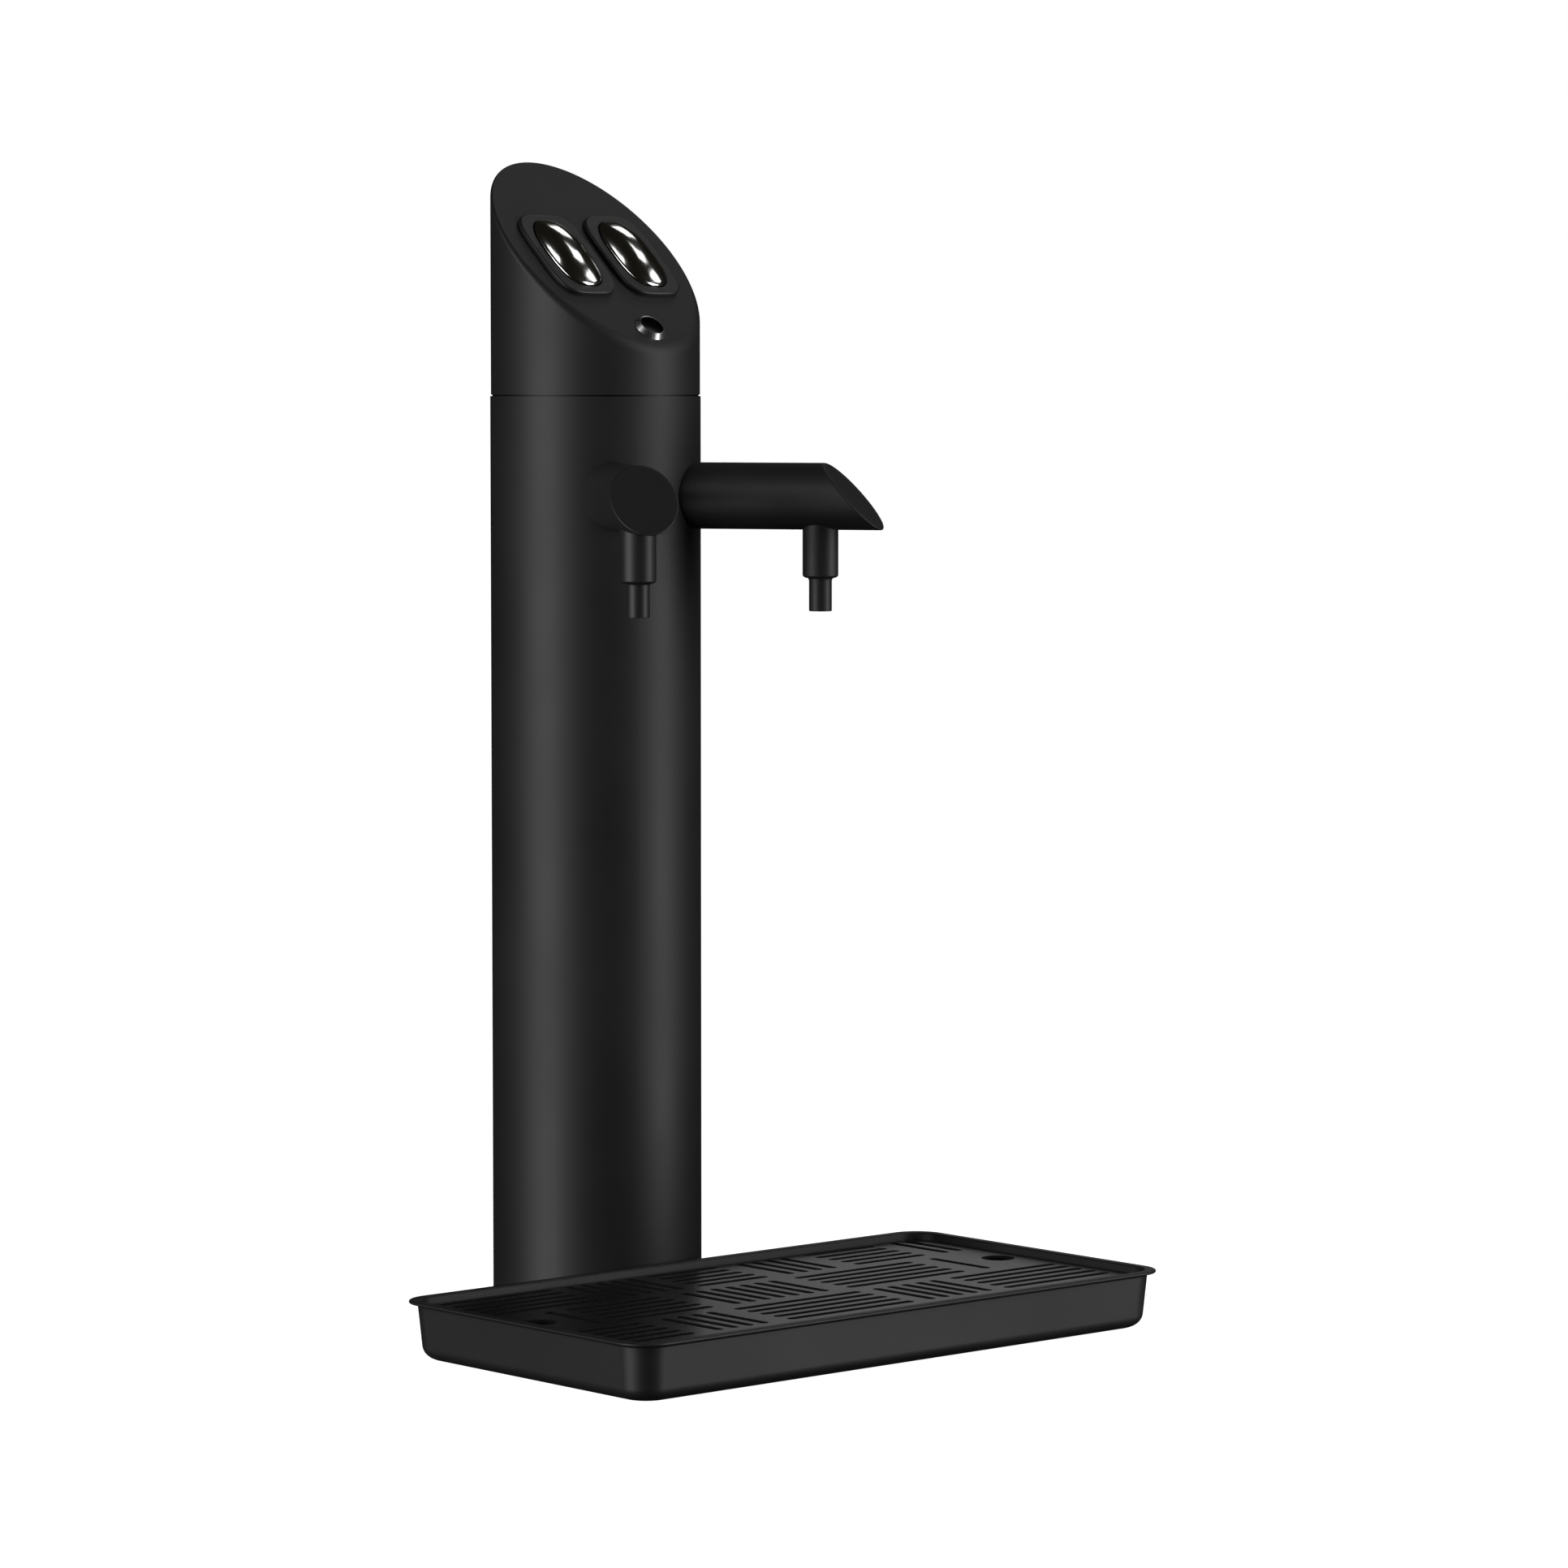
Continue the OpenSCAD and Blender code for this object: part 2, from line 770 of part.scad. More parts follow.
module grille_plate() {
    color(deep_black) translate([0, tray_y, grille_top - grille_t]) linear_extrude(grille_t)
        difference() {
            polygon(rounded_plate(grille_w, grille_depth, grille_corner));
            grille_slots();
            for (side = [LEFT, RIGHT])
                translate([side * (grille_w / 2 - lift_hole_inset), pattern_y - tray_y])
                    circle(r = lift_hole_r);
        }
}

module grille_legs() {
    floor_z = feet_h + tray_t;
    color(deep_black) for (x = [-1, 0, 1]) for (y = [-0.5, 0.5])
        translate([x * (grille_w / 2 - 20), pattern_y + y * row_pitch, floor_z])
            cylinder(r = leg_r, h = grille_top - grille_t - floor_z);
}

base_seal();
base_flange();
base_set_screws();
column_tube();
joining_collar();
head_cap();
head_screws();
button_surround(LEFT);  // button_surround_left
button_surround(RIGHT);  // button_surround_right
button_housing(LEFT);  // button_housing_left
button_housing(RIGHT);  // button_housing_right
housing_screws();
button_cap(LEFT);  // button_cap_left
button_cap(RIGHT);  // button_cap_right
button_spring(LEFT);  // button_spring_left
button_spring(RIGHT);  // button_spring_right
switch(LEFT);  // switch_left
switch(RIGHT);  // switch_right
control_board();
board_screws();
indicator_bezel();
indicator_lens();
light_pipe();
indicator_led();
board_connector();
control_cable();
cable_gland();
inlet_fitting(LEFT);  // inlet_fitting_left
inlet_fitting(RIGHT);  // inlet_fitting_right
water_hose(LEFT);  // water_hose_left
water_hose(RIGHT);  // water_hose_right
spout_arm(LEFT);  // spout_arm_left
spout_arm(RIGHT);  // spout_arm_right
spout_washer(LEFT);  // spout_washer_left
spout_washer(RIGHT);  // spout_washer_right
spout_nut(LEFT);  // spout_nut_left
spout_nut(RIGHT);  // spout_nut_right
spout_elbow(LEFT);  // spout_elbow_left
spout_elbow(RIGHT);  // spout_elbow_right
nozzle_body(LEFT);  // nozzle_body_left
nozzle_body(RIGHT);  // nozzle_body_right
nozzle_seal(LEFT);  // nozzle_seal_left
nozzle_seal(RIGHT);  // nozzle_seal_right
nozzle_tip(LEFT);  // nozzle_tip_left
nozzle_tip(RIGHT);  // nozzle_tip_right
drip_tray_pan();
tray_feet();
grille_plate();
grille_legs();
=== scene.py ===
import json
import math

import bmesh
import bpy
from mathutils import Matrix, Vector


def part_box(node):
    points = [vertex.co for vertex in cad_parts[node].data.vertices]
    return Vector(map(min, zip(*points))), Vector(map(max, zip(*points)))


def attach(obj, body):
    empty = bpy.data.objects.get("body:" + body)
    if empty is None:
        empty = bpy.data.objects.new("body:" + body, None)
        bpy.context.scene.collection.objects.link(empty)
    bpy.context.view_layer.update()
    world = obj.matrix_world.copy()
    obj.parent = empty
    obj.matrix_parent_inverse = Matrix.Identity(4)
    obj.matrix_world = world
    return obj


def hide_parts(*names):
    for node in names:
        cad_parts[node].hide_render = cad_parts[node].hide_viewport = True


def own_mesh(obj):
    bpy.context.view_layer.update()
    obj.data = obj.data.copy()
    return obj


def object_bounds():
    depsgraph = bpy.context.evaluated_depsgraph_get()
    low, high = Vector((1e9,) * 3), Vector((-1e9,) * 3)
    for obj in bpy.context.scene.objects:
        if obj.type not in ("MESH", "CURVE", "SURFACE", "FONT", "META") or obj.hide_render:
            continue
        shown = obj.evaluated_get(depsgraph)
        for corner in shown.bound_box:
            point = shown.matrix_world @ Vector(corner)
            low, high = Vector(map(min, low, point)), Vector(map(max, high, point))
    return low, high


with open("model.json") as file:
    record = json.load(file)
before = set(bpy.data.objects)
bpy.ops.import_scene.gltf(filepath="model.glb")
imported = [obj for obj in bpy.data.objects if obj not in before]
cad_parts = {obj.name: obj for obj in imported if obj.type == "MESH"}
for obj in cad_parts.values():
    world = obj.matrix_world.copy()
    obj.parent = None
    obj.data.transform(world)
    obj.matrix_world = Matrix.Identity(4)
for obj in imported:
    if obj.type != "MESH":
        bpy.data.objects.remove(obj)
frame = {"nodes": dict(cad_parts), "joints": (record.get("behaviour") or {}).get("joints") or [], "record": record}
cad_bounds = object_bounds()

MM = 0.001
MICRON = 1e-6
SIDES = ("left", "right")
SHARP_ANGLE = math.radians(35)

# The camera's place round the column's axis, and its lens
CAMERA_AZIMUTH = math.radians(-41.7)
CAMERA_PITCH = math.radians(4.04)
CAMERA_DISTANCE = 2.446
CAMERA_ASIDE = 0.0797
CAMERA_HEIGHT = 0.398
CAMERA_LENS = 132.5
CAMERA_SENSOR = 36

# The head: the rounding of the panel's edge at its back, sides and front, its wall and its bosses.
# Points of the board's screws that are closer than SCREW_REACH belong to one screw.
PANEL_SOFTENING = (1.0 * MM, 2.7 * MM, 4.2 * MM)
PANEL_WALL = 3 * MM
INNER_SOFTENING = 0.5 * MM
BOSS_R = 3 * MM
BOSS_BORE_R = 1.25 * MM
SCREW_REACH = 6 * MM

# The buttons, and how square each oval is, where 2 is an ellipse
CAP_SQUARE = 2.6
OPENING_SQUARE = 2.8
SURROUND_SQUARE = 4
OPENING_MARGIN = 1.4 * MM
SURROUND_FILLET = 0.8 * MM
PAD_GAP = 0.4 * MM
PAD_SOFTENING = 0.5 * MM
PAD_RELIEF = 1 * MM
CAP_RISE = 3.8 * MM
CAP_WALL = 1.5 * MM
CAP_SKIRT = -4 * MM
DOME_POWER = 2.2
DOME_STEPS = 30
STEM_R = 2.5 * MM
SPRING_WIRE = 0.45 * MM
SPRING_TURNS = 5
SPRING_CLEARANCE = 0.05 * MM
INDICATOR_HOLE_R = 5.8 * MM

# The spouts and their outlets
SPOUT_SETBACK = 1.1 * MM
SPOUT_WALL = 2.5 * MM
TAIL_R = 11 * MM
TAIL_BORE_R = 9 * MM
CHAMBER_START = 52.5 * MM
NECK_R = 5 * MM
FLOW_R = 2.75 * MM
MOUTH_R = 3.2 * MM
SOCKET_R = 4 * MM
SOCKET_DEPTH = 8 * MM
MOUTH_DEPTH = 6 * MM

# The drip tray and its grille
LIP_OUT = 3 * MM
LIP_WALL = 1.3 * MM
LIP_CORNER = 14 * MM
TRAY_WALL = 1.5 * MM
TRAY_FILLET = 6 * MM
TRAY_DRAFT = math.radians(5)
GRILLE_EDGE = 0.25 * MM
GRILLE_UNDER_EDGE = 0.2 * MM

# The lights: azimuth and elevation in degrees, distance, width and height in metres, and radiance.
# ROOM_GLOW is the dim light from everywhere else.
LIGHTS = {
    "left_strip": (-98, 4, 2.2, 1.2, 2.9, 3.7),
    "right_strip": (36, 8, 2.2, 0.7, 3.0, 4.9),
    "top_back": (122, 45, 2.2, 0.38, 0.38, 1.9),
    "top_side": (86, 58, 2.2, 0.42, 0.42, 1.9),
    "top_front": (66, 44, 2.2, 0.38, 0.38, 1.9),
    "top_left": (-66, 76, 2.2, 0.3, 0.3, 2.2),
    "back_card": (134.2, 6, 2.5, 0.5, 1.0, 0.65),
}
ROOM_GLOW = (0.0075, 0.0068, 0.0048)

record = frame["record"]
slot_of = {part["node"]: part["material_slot"] for part in record["subparts"]}
body_of = {node: body for body, nodes in record["behaviour"]["bodies"].items() for node in nodes}


# ---------- places ----------

def local_place(origin, x_axis, z_axis):
    """The matrix of a local frame with its Z along z_axis and its X as near as can be to x_axis."""
    z = Vector(z_axis).normalized()
    x = Vector(x_axis)
    x = (x - z * x.dot(z)).normalized()
    turned = Matrix((x, z.cross(x), z)).transposed()
    return Matrix.Translation(origin) @ turned.to_4x4()


def local_points(node, place):
    """The corners of a CAD node's mesh in a local frame."""
    inverse = place.inverted()
    return [inverse @ v.co for v in frame["nodes"][node].data.vertices]


def extent(node, place):
    """The lowest and highest corner of a CAD node in a local frame."""
    points = local_points(node, place)
    low = Vector([min(p[i] for p in points) for i in range(3)])
    high = Vector([max(p[i] for p in points) for i in range(3)])
    return low, high


def centre_and_half(node, place):
    """The middle of a CAD node in a local frame, and half of its size there."""
    low, high = extent(node, place)
    return (low + high) / 2, (high - low) / 2


def middle(node):
    low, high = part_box(node)
    return (low + high) / 2


def press_joint(side):
    return next(joint for joint in frame["joints"] if joint["name"] == f"button_{side}_press")


def panel_normal():
    """The way out of the control panel, which the buttons are pressed against."""
    return -Vector(press_joint("left")["axis"]).normalized()


def panel_slope():
    """How far the panel is tilted from level."""
    return math.acos(panel_normal().z)


def panel_height():
    """The height of the panel's plane on the column's axis."""
    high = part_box("head_cap")[1]
    return high.z - high.x * math.tan(panel_slope())


def panel_place():
    """The control panel's frame: X across, Y up the slope and Z out of the panel."""
    return local_place((0, 0, panel_height()), (1, 0, 0), panel_normal())


def spout_place(side):
    """A spout's frame: Z out along the spout and Y down."""
    outlet = middle(f"nozzle_tip_{side}")
    height = middle(f"spout_arm_{side}").z
    out = Vector((outlet.x, outlet.y, 0))
    return local_place((0, 0, height), Vector((0, 0, -1)).cross(out), out)


# ---------- mesh building ----------

class Skin:
    """One piece's mesh, made of rings of points given in a local frame."""

    def __init__(self, place=Matrix.Identity(4)):
        self.mesh = bmesh.new()
        self.place = place

    def ring(self, points):
        return [self.mesh.verts.new(self.place @ Vector(p)) for p in points]

    def bridge(self, a, b):
        for i in range(len(a)):
            j = (i + 1) % len(a)
            self.mesh.faces.new((a[i], a[j], b[j], b[i]))

    def loft(self, rings):
        """Joins rings of points one to the next, and returns the first and last ring of vertices."""
        made = [self.ring(points) for points in rings]
        for a, b in zip(made, made[1:]):
            self.bridge(a, b)
        return made[0], made[-1]

    def fill(self, *loops):
        """Closes the flat region inside the first loop and outside the others."""
        edges = []
        for loop in loops:
            for a, b in zip(loop, loop[1:] + loop[:1]):
                edges.append(self.mesh.edges.get((a, b)) or self.mesh.edges.new((a, b)))
        bmesh.ops.triangle_fill(self.mesh, use_beauty=True, use_dissolve=False, edges=edges)

    def finish(self, name, nodes, material):
        """Makes the piece, which rides with the CAD nodes that it stands for."""
        bmesh.ops.recalc_face_normals(self.mesh, faces=self.mesh.faces)
        for face in self.mesh.faces:
            face.smooth = True
        for edge in self.mesh.edges:
            if len(edge.link_faces) == 2 and edge.calc_face_angle() > SHARP_ANGLE:
                edge.smooth = False
        data = bpy.data.meshes.new(name)
        self.mesh.to_mesh(data)
        self.mesh.free()
        piece = bpy.data.objects.new(name, data)
        bpy.context.scene.collection.objects.link(piece)
        piece.data.materials.append(material)
        weights = piece.modifiers.new("even_normals", "WEIGHTED_NORMAL")
        weights.keep_sharp = True
        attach(piece, body_of[nodes[0]])
        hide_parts(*nodes)
        return piece


def circle(radius, z, steps=96, centre=(0, 0)):
    turns = [2 * math.pi * i / steps for i in range(steps)]
    return [(centre[0] + radius * math.cos(a), centre[1] + radius * math.sin(a), z) for a in turns]


def signed_power(value, exponent):
    return math.copysign(abs(value) ** exponent, value)


def oval(half_w, half_l, exponent, z, steps=96):
    """A rounded oval: exponent 2 is an ellipse, and more is squarer."""
    points = []
    for i in range(steps):
        a = 2 * math.pi * (i + 0.5) / steps
        x = half_w * signed_power(math.cos(a), 2 / exponent)
        y = half_l * signed_power(math.sin(a), 2 / exponent)
        points.append((x, y, z))
    return points


def moved(points, x, y):
    return [(px + x, py + y, pz) for px, py, pz in points]


def arc(start, end, steps):
    """Angles from start to end, both given in degrees."""
    return [math.radians(start + (end - start) * i / steps) for i in range(steps + 1)]


def rounded_rectangle(width, depth, corner, z, steps=12):
    points = []
    for quarter in range(4):
        side_x = 1 if quarter in (0, 3) else -1
        side_y = 1 if quarter < 2 else -1
        for a in arc(90 * quarter, 90 * quarter + 90, steps):
            x = side_x * (width / 2 - corner) + corner * math.cos(a)
            y = side_y * (depth / 2 - corner) + corner * math.sin(a)
            points.append((x, y, z))
    return points


def cut_rod(radius, base, crossing, slope, setback, steps=160, rounds=8):
    """Rings up a rod along Z to a sloping flat face with a rounded edge.
    The rod is longest at +Y, and the face crosses the axis at the given height.
    base and setback are functions of the angle round the rod: where the rod starts, and how far
    back from the sharp edge its rounding begins."""
    normal = Vector((0, -math.sin(slope), math.cos(slope)))
    rings = [[] for _ in range(rounds + 2)]
    for i in range(steps):
        a = 2 * math.pi * i / steps
        out = Vector((math.cos(a), math.sin(a), 0))
        fillet = setback(a) / (1 / math.cos(slope) + math.tan(slope) * math.sin(a))
        centre = out * (radius - fillet)
        centre.z = crossing + math.tan(slope) * centre.y - fillet / math.cos(slope)
        rings[0].append(out * radius + Vector((0, 0, base(a))))
        for k in range(rounds + 1):
            rings[k + 1].append(centre + fillet * out.slerp(normal, k / rounds))
    return rings


def always(value):
    """A function that gives the same value at every angle."""
    return lambda angle: value


def lathe(skin, profile, steps=64, centre=(0, 0)):
    """A closed solid of revolution about the local Z, from a closed profile of (radius, height)."""
    rings = [skin.ring(circle(r, z, steps, centre)) for r, z in profile]
    for a, b in zip(rings, rings[1:] + rings[:1]):
        skin.bridge(a, b)


# ---------- materials ----------

def tint(colour, factor):
    return tuple(c * factor for c in colour)


class Finish:
    """A procedural material: its colour, roughness and relief vary over the surface."""

    def __init__(self, name, **fixed):
        self.material = bpy.data.materials.new(name)
        self.material.use_nodes = True
        self.nodes = self.material.node_tree.nodes
        self.links = self.material.node_tree.links
        self.shader = self.nodes["Principled BSDF"]
        self.place = self.nodes.new("ShaderNodeTexCoord").outputs["Object"]
        for socket, value in fixed.items():
            self.shader.inputs[socket.replace("_", " ")].default_value = value

    def noise(self, scale, detail=3, stretch=None):
        """Cloudy noise whose features are about 1 / scale metres across."""
        texture = self.nodes.new("ShaderNodeTexNoise")
        texture.inputs["Scale"].default_value = scale
        texture.inputs["Detail"].default_value = detail
        place = self.place
        if stretch:
            mapping = self.nodes.new("ShaderNodeMapping")
            mapping.inputs["Scale"].default_value = stretch
            self.links.new(place, mapping.inputs["Vector"])
            place = mapping.outputs["Vector"]
        self.links.new(place, texture.inputs["Vector"])
        return texture.outputs["Fac"]

    def colours(self, pattern, *stops):
        """Base colour from a pattern, through colours at their places from 0 to 1."""
        ramp = self.nodes.new("ShaderNodeValToRGB")
        ramp.color_ramp.elements[0].position = stops[0][0]
        ramp.color_ramp.elements[1].position = stops[-1][0]
        for place, _ in stops[1:-1]:
            ramp.color_ramp.elements.new(place)
        for element, (_, colour) in zip(ramp.color_ramp.elements, stops):
            element.color = (*colour, 1)
        self.links.new(pattern, ramp.inputs["Fac"])
        self.links.new(ramp.outputs["Color"], self.shader.inputs["Base Color"])

    def clouded(self, colour):
        """A base colour with a faint cloudiness, whose pattern it returns."""
        clouds = self.noise(14)
        self.colours(clouds, (0.3, tint(colour, 0.85)), (0.7, tint(colour, 1.15)))
        return clouds

    def ranged(self, pattern, before, after, socket):
        """Drives a shader socket with a pattern stretched from one range of values to another."""
        span = self.nodes.new("ShaderNodeMapRange")
        for name, value in zip(("From Min", "From Max", "To Min", "To Max"), before + after):
            span.inputs[name].default_value = value
        self.links.new(pattern, span.inputs["Value"])
        self.links.new(span.outputs["Result"], self.shader.inputs[socket])

    def roughness(self, pattern, low, high):
        self.ranged(pattern, (0.3, 0.7), (low, high), "Roughness")

    def relief(self, *layers):
        """Bump from layers of (pattern, depth in metres), one on the other."""
        normal = None
        for pattern, depth in layers:
            bump = self.nodes.new("ShaderNodeBump")
            bump.inputs["Strength"].default_value = 1
            bump.inputs["Distance"].default_value = depth
            self.links.new(pattern, bump.inputs["Height"])
            if normal:
                self.links.new(normal, bump.inputs["Normal"])
            normal = bump.outputs["Normal"]
        self.links.new(normal, self.shader.inputs["Normal"])


def coated(name, colour, rough, grain=0.006 * MM, **fixed):
    """Powder coat or moulded plastic: fine grain, with a faint cloudiness in tone and gloss."""
    finish = Finish(name, **fixed)
    finish.roughness(finish.clouded(colour), rough - 0.03, rough + 0.03)
    finish.relief((finish.noise(2600, detail=2), grain), (finish.noise(420, detail=1), grain))
    return finish.material


def pressed(name, colour, rough):
    """Powder coat on punched sheet: satin on its faces and dull on the punched edges."""
    finish = Finish(name, Specular_IOR_Level=0.4)
    finish.clouded(colour)
    facing = finish.nodes.new("ShaderNodeNewGeometry").outputs["Normal"]
    apart = finish.nodes.new("ShaderNodeSeparateXYZ")
    finish.links.new(facing, apart.inputs["Vector"])
    finish.ranged(apart.outputs["Z"], (0.5, 0.95), (1, rough), "Roughness")
    return finish.material


def polished(name, colour, rough):
    """Polished metal: a mirror with a faint waviness and hairline wiping marks."""
    finish = Finish(name, Metallic=1)
    wipe = finish.noise(600, detail=4, stretch=(1, 0.12, 0.12))
    finish.colours(wipe, (0.2, tint(colour, 0.94)), (0.8, colour))
    finish.roughness(wipe, rough, rough + 0.04)
    finish.relief((finish.noise(160, detail=1), 0.004 * MM))
    return finish.material


def machined(name, colour, rough):
    """Turned or drawn metal with fine directional lines."""
    finish = Finish(name, Metallic=1)
    lines = finish.noise(900, detail=4, stretch=(0.05, 0.05, 1))
    finish.colours(lines, (0.25, tint(colour, 0.8)), (0.75, colour))
    finish.roughness(lines, rough, rough + 0.12)
    finish.relief((lines, 0.01 * MM))
    return finish.material


def circuit(name):
    """Solder mask with paler traces that run square to each other."""
    finish = Finish(name, Roughness=0.35)
    cells = finish.nodes.new("ShaderNodeTexVoronoi")
    cells.distance = "CHEBYCHEV"
    cells.feature = "F1"
    cells.inputs["Scale"].default_value = 260
    finish.links.new(finish.place, cells.inputs["Vector"])
    traces = cells.outputs["Distance"]
    dark, pale = (0.008, 0.07, 0.03), (0.02, 0.16, 0.07)
    finish.colours(traces, (0.35, dark), (0.4, pale), (0.46, pale), (0.5, dark))
    finish.roughness(finish.noise(90), 0.28, 0.4)
    finish.relief((traces, 0.02 * MM))
    return finish.material


def clear(name):
    finish = Finish(name, Transmission_Weight=1, IOR=1.49)
    clouds = finish.noise(120)
    finish.colours(clouds, (0.3, (0.86, 0.89, 0.89)), (0.7, (0.94, 0.96, 0.96)))
    finish.roughness(clouds, 0.08, 0.16)
    finish.relief((finish.noise(900), 0.002 * MM))
    return finish.material


def make_finishes():
    """One material for each material slot of the record, and the softer chrome of the indicator's ring."""
    return {
        "painted_black": coated("matte_powder_coat", (0.0100, 0.0100, 0.0110), 0.53),
        "satin_black": coated("satin_powder_coat", (0.0095, 0.0095, 0.0100), 0.56),
        "grille_black": pressed("grille_powder_coat", (0.005, 0.005, 0.0055), 0.38),
        "outlet_black": coated("outlet_coat", (0.013, 0.013, 0.014), 0.5, 0.003 * MM),
        "pad_black": coated("pad_plastic", (0.012, 0.012, 0.012), 0.45, 0.003 * MM),
        "black_plastic": coated("moulded_black_plastic", (0.015, 0.015, 0.015), 0.55),
        "satin_chrome": polished("satin_chrome", (0.55, 0.55, 0.56), 0.3),
        "chrome_trim": polished("polished_chrome", (0.86, 0.86, 0.85), 0.1),
        "dark_lens": coated("smoked_lens", (0.001, 0.001, 0.001), 0.1, 0.001 * MM, Specular_IOR_Level=0.06),
        "clear_plastic": clear("clear_plastic"),
        "steel": machined("turned_steel", (0.56, 0.57, 0.58), 0.28),
        "black_anodised": machined("black_anodised_aluminium", (0.03, 0.03, 0.032), 0.4),
        "brass": machined("turned_brass", (0.76, 0.55, 0.24), 0.25),
        "rubber": coated("moulded_rubber", (0.012, 0.012, 0.012), 0.8, 0.01 * MM),
        "white_plastic": coated("natural_plastic", (0.72, 0.72, 0.68), 0.42),
        "board_green": circuit("solder_mask"),
    }


# ---------- head and controls ----------

def head_shell(material):
    """The head: a tube cut off by the sloping panel, with a rounded edge, openings and board bosses."""
    slope, height = panel_slope(), panel_height()
    low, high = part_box("head_cap")
    radius, base = high.x, always(low.z)
    skin = Skin()
    outer = cut_rod(radius, base, height, slope, panel_setback)
    outer_foot, outer_rim = skin.loft(outer)
    inner_height = height - PANEL_WALL / math.cos(slope)
    inner = cut_rod(radius - PANEL_WALL, base, inner_height, slope, always(INNER_SOFTENING))
    inner_foot, inner_rim = skin.loft(inner)
    skin.bridge(outer_foot, inner_foot)
    skin.place = panel_place()
    openings = [skin.loft(edge) for edge in panel_openings()]
    skin.fill(outer_rim, *[top for top, _ in openings])
    skin.fill(inner_rim, *[bottom for _, bottom in openings])
    foot, root = extent("control_board", skin.place)[1].z, -PANEL_WALL
    boss = [(BOSS_BORE_R, root), (BOSS_R, root), (BOSS_R, foot), (BOSS_BORE_R, foot)]
    for centre in board_bosses(skin.place):
        lathe(skin, boss, 32, centre)
    skin.finish("head_shell", ["head_cap"], material)


def panel_setback(angle):
    """How wide the panel's rounded edge is: least at the high back, most at the low front."""
    back, side, front = PANEL_SOFTENING
    height = math.sin(angle)
    return side + (back - side) * height if height > 0 else side + (side - front) * height


def panel_openings():
    """Pairs of rings, at the panel's face and its back, for the buttons and the indicator."""
    place = panel_place()
    edges = []
    for side in SIDES:
        centre, half = centre_and_half(f"button_cap_{side}", place)
        edge = oval(half.x + OPENING_MARGIN, half.y + OPENING_MARGIN, OPENING_SQUARE, 0)
        edges.append(moved(edge, centre.x, centre.y))
    centre, _ = centre_and_half("indicator_lens", place)
    edges.append(circle(INDICATOR_HOLE_R, 0, 48, centre.xy))
    return [[edge, [(x, y, -PANEL_WALL) for x, y, _ in edge]] for edge in edges]


def board_bosses(place):
    """Where the board's screws stand, in the panel's frame."""
    groups = []
    for p in local_points("board_screws", place):
        near = next((g for g in groups if (g[0].xy - p.xy).length < SCREW_REACH), None)
        if near is None:
            groups.append([p])
        else:
            near.append(p)
    spans = [[(min(p[i] for p in g) + max(p[i] for p in g)) / 2 for i in (0, 1)] for g in groups]
    return [tuple(s) for s in spans]


def button_dome(side, material):
    """A button cap: a domed top, a skirt, and the stem that works the switch."""
    place = panel_place()
    centre, half = centre_and_half(f"button_cap_{side}", place)
    stem_foot, seat = centre.z - half.z, centre.z + half.z - CAP_RISE
    ceiling = extent(f"button_spring_{side}", place)[1].z + SPRING_CLEARANCE
    skin = Skin(place)

    def outline(inset, z, shrink=1):
        ring = oval((half.x - inset) * shrink, (half.y - inset) * shrink, CAP_SQUARE, z)
        return moved(ring, centre.x, centre.y)

    # The skirt's softened foot, its side, the softened edge above it, and then the dome
    rings = [outline(0.3 * MM, CAP_SKIRT), outline(0, CAP_SKIRT + 0.3 * MM)]
    rings += [outline(0, seat - 0.5 * MM), outline(0.04 * MM, seat - 0.25 * MM)]
    rings.append(outline(0.15 * MM, seat - 0.04 * MM))
    for k in range(DOME_STEPS - 1, 0, -1):
        share = k / DOME_STEPS
        rings.append(outline(0, seat + CAP_RISE * (1 - share ** DOME_POWER), share))
    foot, crown = skin.loft(rings)
    skin.fill(crown)
    inner_foot, inner_top = skin.loft([outline(CAP_WALL, CAP_SKIRT), outline(CAP_WALL, ceiling)])
    skin.bridge(foot, inner_foot)
    web_hole = skin.ring(circle(STEM_R, ceiling, 32, centre.xy))
    stem_end = skin.ring(circle(STEM_R, stem_foot, 32, centre.xy))
    skin.fill(inner_top, web_hole)
    skin.bridge(web_hole, stem_end)
    skin.fill(stem_end)
    skin.finish(f"button_dome_{side}", [f"button_cap_{side}"], material)


def button_pad(side, material):
    """The raised surround of a button, with a rounded outer edge and a softened inner one."""
    place = panel_place()
    centre, half = centre_and_half(f"button_surround_{side}", place)
    cap_centre, cap_half = centre_and_half(f"button_cap_{side}", place)
    low_z, high_z = centre.z - half.z, centre.z + half.z
    skin = Skin(place)

    def outer(inset, z):
        ring = oval(half.x - inset, half.y - inset, SURROUND_SQUARE, z)
        return moved(ring, centre.x, centre.y)

    def inner(gap, z):
        ring = oval(cap_half.x + gap, cap_half.y + gap, CAP_SQUARE, z)
        return moved(ring, cap_centre.x, cap_centre.y)

    rings = [outer(0, 0)]
    for a in arc(0, 90, 6):
        inset = SURROUND_FILLET * (1 - math.cos(a))
        rings.append(outer(inset, high_z - SURROUND_FILLET * (1 - math.sin(a))))
    foot, top = skin.loft(rings)
    soft = PAD_SOFTENING
    rings = [inner(PAD_GAP + soft, high_z), inner(PAD_GAP + 0.3 * soft, high_z - 0.3 * soft)]
    rings += [inner(PAD_GAP, high_z - soft), inner(PAD_GAP, low_z)]
    rings += [inner(PAD_RELIEF, low_z), inner(PAD_RELIEF, 0)]
    mouth, root = skin.loft(rings)
    skin.fill(top, mouth)
    skin.fill(foot, root)
    skin.finish(f"button_pad_{side}", [f"button_surround_{side}"], material)


